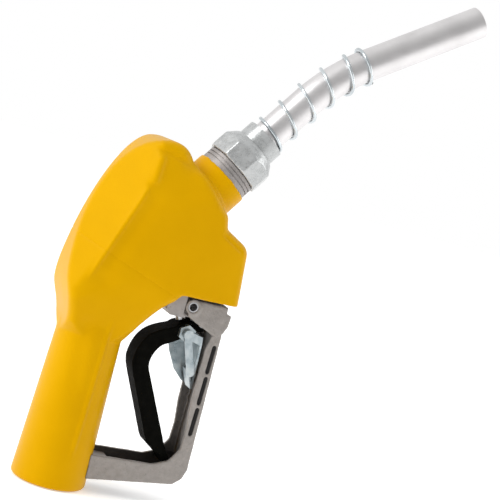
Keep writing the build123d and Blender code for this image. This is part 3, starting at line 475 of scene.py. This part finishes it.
def cast_piece(name, node, body, material, voxel, smooth_steps, extra=None):
    """A casting with softened edges and a real rough skin."""
    piece = remeshed_copy(name, [node], voxel, smooth_steps, extra)
    mesh = piece.data
    points = get_points(mesh)
    normals = get_points(mesh, "normal")
    rough = np.array([noise.noise(Vector(p) * CAST_ROUGHNESS_WAVES) for p in points])
    # only the guard gets painted shade in its grooves and channel, stored on the mesh
    if extra:
        recess_shade = mesh.attributes.new("recess_shade", "FLOAT", "POINT")
        recess_shade.data.foreach_set("value", recess_shade_amount(points / MM).astype(np.float32))
    set_points(mesh, points + normals * (rough - 0.5)[:, None] * CAST_ROUGHNESS_DEPTH)
    mesh.materials.append(material)
    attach(piece, body)
    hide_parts(node)
    return piece


def finish_node(node, material):
    """Gives a CAD node shown as it is its better material."""
    data = frame["nodes"][node].data
    data.materials.clear()
    data.materials.append(material)


# ---------------------------------------------------------------- studio

def add_area_light(name, location, target, size, power):
    """A square soft light."""
    data = bpy.data.lights.new(name, "AREA")
    data.shape = "SQUARE"
    data.size = size
    data.energy = power
    light = bpy.data.objects.new(name, data)
    bpy.context.scene.collection.objects.link(light)
    light.location = location
    light.rotation_euler = (Vector(target) - Vector(location)).to_track_quat("-Z", "Y").to_euler()


def add_floor(height, material):
    """The plain floor that the nozzle stands on."""
    far = FLOOR_HALF_SIZE
    corners = [(-far, -far, height), (far, -far, height), (far, far, height), (-far, far, height)]
    mesh = bpy.data.meshes.new("floor")
    mesh.from_pydata(corners, [], [(0, 1, 2, 3)])
    mesh.materials.append(material)
    floor = bpy.data.objects.new("floor", mesh)
    bpy.context.scene.collection.objects.link(floor)
    floor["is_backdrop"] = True


def add_world():
    """White all round, but greyer on the side that the front of the nozzle faces."""
    world = bpy.data.worlds.new("studio")
    bpy.context.scene.world = world
    world.use_nodes = True
    tree = world.node_tree
    coordinates = place_node(tree, "ShaderNodeTexCoord")
    parts = place_node(tree, "ShaderNodeSeparateXYZ")
    shade = place_node(tree, "ShaderNodeMapRange")
    shade.inputs["From Min"].default_value = -0.9
    shade.inputs["From Max"].default_value = 0.2
    shade.inputs["To Min"].default_value = FRONT_SHADE
    shade.inputs["To Max"].default_value = 1.0
    tree.links.new(coordinates.outputs["Generated"], parts.inputs["Vector"])
    tree.links.new(parts.outputs["Y"], shade.inputs["Value"])
    tree.links.new(shade.outputs["Result"], tree.nodes["Background"].inputs["Color"])


def add_camera():
    """The camera, looking at the middle of the nozzle from its left front."""
    data = bpy.data.cameras.new("camera")
    data.lens = CAMERA_LENS
    data.sensor_width = 36.0
    data.clip_start = 0.05
    data.clip_end = 20.0
    camera = bpy.data.objects.new("camera", data)
    bpy.context.scene.collection.objects.link(camera)
    back = CAMERA_BACK.normalized()
    right = CAMERA_UP.cross(back).normalized()
    up = back.cross(right)
    place = CAMERA_TARGET + back * CAMERA_DISTANCE
    camera.matrix_world = Matrix((
        (right.x, up.x, back.x, place.x),
        (right.y, up.y, back.y, place.y),
        (right.z, up.z, back.z, place.z),
        (0, 0, 0, 1)))
    bpy.context.scene.camera = camera


# ---------------------------------------------------------------- the scene

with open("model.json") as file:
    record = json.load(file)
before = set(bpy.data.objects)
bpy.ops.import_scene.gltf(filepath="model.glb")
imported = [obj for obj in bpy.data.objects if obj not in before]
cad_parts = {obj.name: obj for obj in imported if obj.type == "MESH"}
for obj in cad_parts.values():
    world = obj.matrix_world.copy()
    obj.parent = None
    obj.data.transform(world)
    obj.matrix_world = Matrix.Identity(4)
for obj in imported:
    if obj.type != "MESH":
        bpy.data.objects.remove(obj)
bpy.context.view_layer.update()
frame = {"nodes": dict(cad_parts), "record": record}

vinyl = yellow_vinyl()
casting = rough_casting("cast_aluminium", (0.24, 0.225, 0.215), (0.37, 0.345, 0.335), 0.50)
guard_metal = rough_casting("guard_casting", (0.215, 0.197, 0.182), (0.345, 0.318, 0.296), 0.48)
nut_metal = rough_casting("nut_casting", (0.34, 0.35, 0.35), (0.52, 0.53, 0.53), 0.29, 0.12)
spout_metal = brushed_metal(
    "spout_aluminium", (0.60, 0.585, 0.585), (0.70, 0.685, 0.685), 0.36, (0.12, 1, 0.2))
wire_metal = brushed_metal("coil_wire", (0.42, 0.46, 0.48), (0.62, 0.66, 0.68), 0.22, (1, 1, 1))
steel = brushed_metal("plain_steel", (0.40, 0.40, 0.41), (0.58, 0.58, 0.59), 0.30, (1, 0.2, 1))
brass = brushed_metal("plain_brass", (0.55, 0.38, 0.12), (0.68, 0.50, 0.20), 0.32, (1, 1, 0.3))
zinc = zinc_plate()
black = black_coating()
rubber = plain_rubber()

by_slot = {
    "cast_aluminium": casting,
    "guard_aluminium": guard_metal,
    "steel": steel,
    "zinc_steel": zinc,
    "spring_wire": wire_metal,
    "brass": brass,
    "seal_rubber": rubber,
    "black_plastic": black,
    "lever_black": black,
    "yellow_vinyl": vinyl,
    "spout_aluminium": spout_metal,
    "nut_aluminium": nut_metal,
}
for entry in frame["record"]["subparts"]:
    finish_node(entry["node"], by_slot[entry["material_slot"]])

covers(vinyl)
cast_piece("guard_casting", "lever_guard", "body", guard_metal,
           CASTING_VOXEL, CASTING_SMOOTHING, groove_floors)
cast_piece("nut_casting", "spout_nut", "body", nut_metal,
           CASTING_VOXEL, CASTING_SMOOTHING)
cast_piece("lever_coated", "lever", "lever", black, LEVER_VOXEL, LEVER_SMOOTHING)

add_world()
add_camera()
add_area_light("key", (-1.5, -0.3, 1.2), LIT_POINT, 0.9, 21)
add_area_light("edge", (1.4, -0.2, 0.6), LIT_POINT, 0.8, 5)
low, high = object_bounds()
add_floor(low.z - FLOOR_GAP, studio_white())
bpy.context.scene.view_settings.view_transform = "Standard"

low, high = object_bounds()
